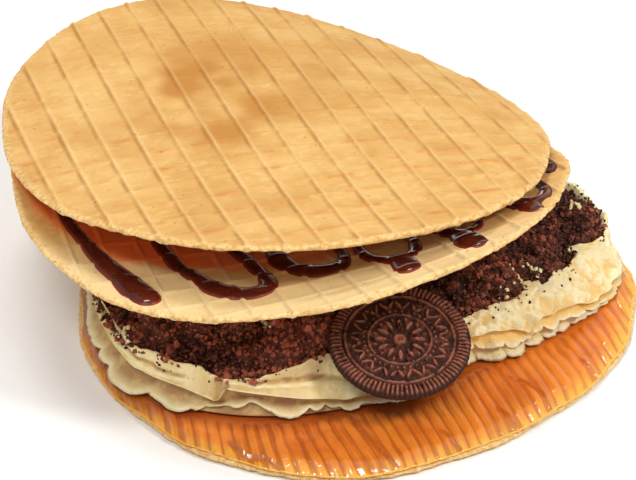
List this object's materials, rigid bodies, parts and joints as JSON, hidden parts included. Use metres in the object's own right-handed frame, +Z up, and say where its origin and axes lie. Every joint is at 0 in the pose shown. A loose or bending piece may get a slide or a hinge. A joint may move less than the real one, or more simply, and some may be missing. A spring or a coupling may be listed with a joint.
{
  "type": "layered wafer sandwich",
  "caption": "Round layered wafer sandwich with caramel, a piped cream border, cocoa crumbs, a cocoa biscuit and bent ribbed wafers with chocolate drizzle.",
  "frame": {"origin": "centre of the bottom wafer's flat underside", "axes": "+Z up, -Y towards the front, where the cocoa biscuit leans"},
  "size_m": [0.2066, 0.2113, 0.0643],
  "materials": {
    "wafer": "dry baked golden wafer",
    "caramel": "glossy soft caramel",
    "cream": "soft whipped cream",
    "cocoa_crumb": "dry cocoa crumb",
    "cocoa_biscuit": "dry embossed cocoa biscuit",
    "chocolate": "glossy liquid chocolate"
  },
  "bodies": {
    "root": {"bottom_wafer": "wafer", "caramel_layer": "caramel", "whipped_cream": "cream", "cocoa_crumbs": "cocoa_crumb", "cocoa_biscuit": "cocoa_biscuit", "middle_wafer": "wafer", "top_wafer": "wafer"}
  },
  "joints": []
}
